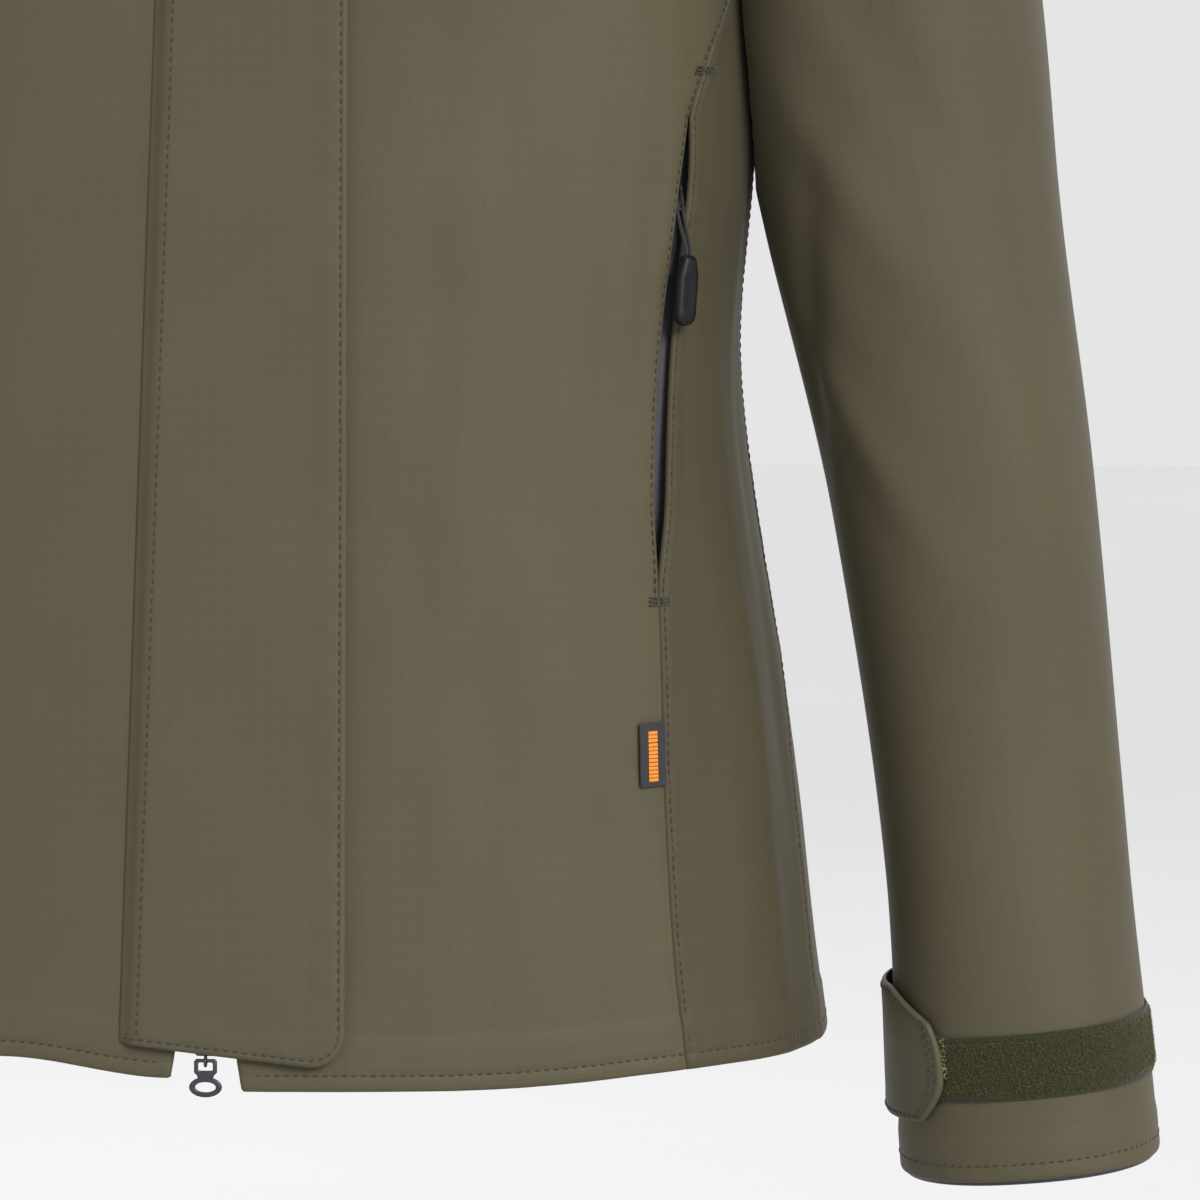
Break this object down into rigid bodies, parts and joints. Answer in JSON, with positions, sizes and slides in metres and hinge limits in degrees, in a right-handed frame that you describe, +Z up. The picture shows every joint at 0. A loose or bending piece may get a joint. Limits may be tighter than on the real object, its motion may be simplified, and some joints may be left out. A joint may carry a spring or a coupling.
{
  "type": "beekeeping jacket",
  "caption": "Fitted waterproof shell jacket with stand collar, storm flap over a two-way zip, slanted zip pockets and sleeves with cuff tabs.",
  "frame": {"origin": "the top edge of the hanger loop, in the middle of the neck's back, on the side towards the collar", "axes": "+Z up, +X towards the wearer's left, -Y out of the front"},
  "size_m": [0.6976, 0.2595, 0.8139],
  "materials": {
    "shell_fabric": "olive ripstop shell fabric, matt",
    "side_fabric": "olive ripstop shell fabric, matt",
    "lining_fabric": "dark blue taffeta lining, satin",
    "zip_tape": "dark woven zip tape, matt",
    "loop_pile": "olive loop pile, fibrous",
    "hook_tape": "hook tape, bristly",
    "label": "woven label, matt",
    "moulded": "moulded black plastic, satin",
    "gunmetal": "gunmetal plated zinc, satin"
  },
  "bodies": {
    "jacket": {"left_front_panel": "shell_fabric", "right_front_panel": "shell_fabric", "back_panel": "shell_fabric", "yoke": "shell_fabric", "collar_outer": "shell_fabric", "hanger_loop": "shell_fabric", "left_side_panel": "side_fabric", "right_side_panel": "side_fabric", "left_front_lining": "lining_fabric", "right_front_lining": "lining_fabric", "left_pocket_bag": "lining_fabric", "right_pocket_bag": "lining_fabric", "back_lining": "lining_fabric", "collar_lining": "lining_fabric", "inner_wind_guard": "lining_fabric", "left_zip_tape": "zip_tape", "right_zip_tape": "zip_tape", "left_pocket_zip_tape": "zip_tape", "right_pocket_zip_tape": "zip_tape", "front_loop_patch_1": "loop_pile", "front_loop_patch_2": "loop_pile", "front_loop_patch_3": "loop_pile", "seam_label": "label", "left_zip_chain": "moulded", "right_zip_chain": "moulded", "insertion_pin": "moulded", "retaining_pin": "moulded"},
    "storm_flap": {"storm_flap": "shell_fabric", "flap_hook_patch_1": "hook_tape", "flap_hook_patch_2": "hook_tape", "flap_hook_patch_3": "hook_tape"},
    "lower_slider": {"lower_slider": "gunmetal"},
    "lower_pull": {"lower_pull": "gunmetal"},
    "upper_slider": {"upper_slider": "gunmetal"},
    "upper_pull": {"upper_pull": "gunmetal"},
    "left_pocket_slider": {"left_pocket_slider": "gunmetal"},
    "left_pocket_pull": {"left_pocket_pull_cord": "zip_tape", "left_pocket_pull_grip": "moulded"},
    "left_sleeve": {"left_sleeve": "shell_fabric", "left_sleeve_lining": "lining_fabric", "left_cuff_loop_tape": "loop_pile", "left_cuff_facing": "lining_fabric"},
    "left_cuff_tab": {"left_cuff_tab": "shell_fabric", "left_cuff_hook_patch": "hook_tape"},
    "right_pocket_slider": {"right_pocket_slider": "gunmetal"},
    "right_pocket_pull": {"right_pocket_pull_cord": "zip_tape", "right_pocket_pull_grip": "moulded"},
    "right_sleeve": {"right_sleeve": "shell_fabric", "right_sleeve_lining": "lining_fabric", "right_cuff_loop_tape": "loop_pile", "right_cuff_facing": "lining_fabric"},
    "right_cuff_tab": {"right_cuff_tab": "shell_fabric", "right_cuff_hook_patch": "hook_tape"}
  },
  "joints": [
    {"name": "storm_flap_opening", "type": "hinge", "parent": "jacket", "child": "storm_flap", "pos_m": [-0.0315, -0.17128, -0.68555], "axis": [-0.0328, -0.0678, -0.9972], "range_deg": [0, 105]},
    {"name": "lower_zip_opening", "type": "slide", "parent": "jacket", "child": "lower_slider", "axis": [0, 0.0678, 0.9977], "range_m": [0, 0.3]},
    {"name": "lower_pull_swing", "type": "hinge", "parent": "lower_slider", "child": "lower_pull", "pos_m": [0, -0.17092, -0.68898], "axis": [-1, 0, 0], "range_deg": [0, 90]},
    {"name": "upper_zip_opening", "type": "slide", "parent": "jacket", "child": "upper_slider", "axis": [0, -0.0678, -0.9977], "range_m": [0, 0.3]},
    {"name": "upper_pull_swing", "type": "hinge", "parent": "upper_slider", "child": "upper_pull", "pos_m": [0, -0.12628, -0.0325], "axis": [-1, 0, 0], "range_deg": [0, 6]},
    {"name": "left_pocket_zip_opening", "type": "slide", "parent": "jacket", "child": "left_pocket_slider", "axis": [-0.0586, -0.1088, -0.9923], "range_m": [0, 0.115]},
    {"name": "left_pocket_pull_swing", "type": "hinge", "parent": "left_pocket_slider", "child": "left_pocket_pull", "pos_m": [0.16862, -0.10382, -0.37435], "axis": [-0.7065, -0.6978, 0.1182], "range_deg": [0, 70]},
    {"name": "left_sleeve_swing", "type": "hinge", "parent": "jacket", "child": "left_sleeve", "pos_m": [0.196, 0, -0.0556], "axis": [0, -1, 0], "range_deg": [0, 35]},
    {"name": "left_cuff_tab_opening", "type": "hinge", "parent": "left_sleeve", "child": "left_cuff_tab", "pos_m": [0.25983, -0.0189, -0.72331], "axis": [0.052, -0.0333, -0.9981], "range_deg": [0, 28]},
    {"name": "right_pocket_zip_opening", "type": "slide", "parent": "jacket", "child": "right_pocket_slider", "axis": [0.0586, -0.1088, -0.9923], "range_m": [0, 0.115]},
    {"name": "right_pocket_pull_swing", "type": "hinge", "parent": "right_pocket_slider", "child": "right_pocket_pull", "pos_m": [-0.16862, -0.10382, -0.37435], "axis": [-0.7065, 0.6978, -0.1182], "range_deg": [0, 70]},
    {"name": "right_sleeve_swing", "type": "hinge", "parent": "jacket", "child": "right_sleeve", "pos_m": [-0.196, 0, -0.0556], "axis": [0, 1, 0], "range_deg": [0, 35]},
    {"name": "right_cuff_tab_opening", "type": "hinge", "parent": "right_sleeve", "child": "right_cuff_tab", "pos_m": [-0.25983, -0.0189, -0.72331], "axis": [0.052, 0.0333, 0.9981], "range_deg": [0, 28]}
  ]
}
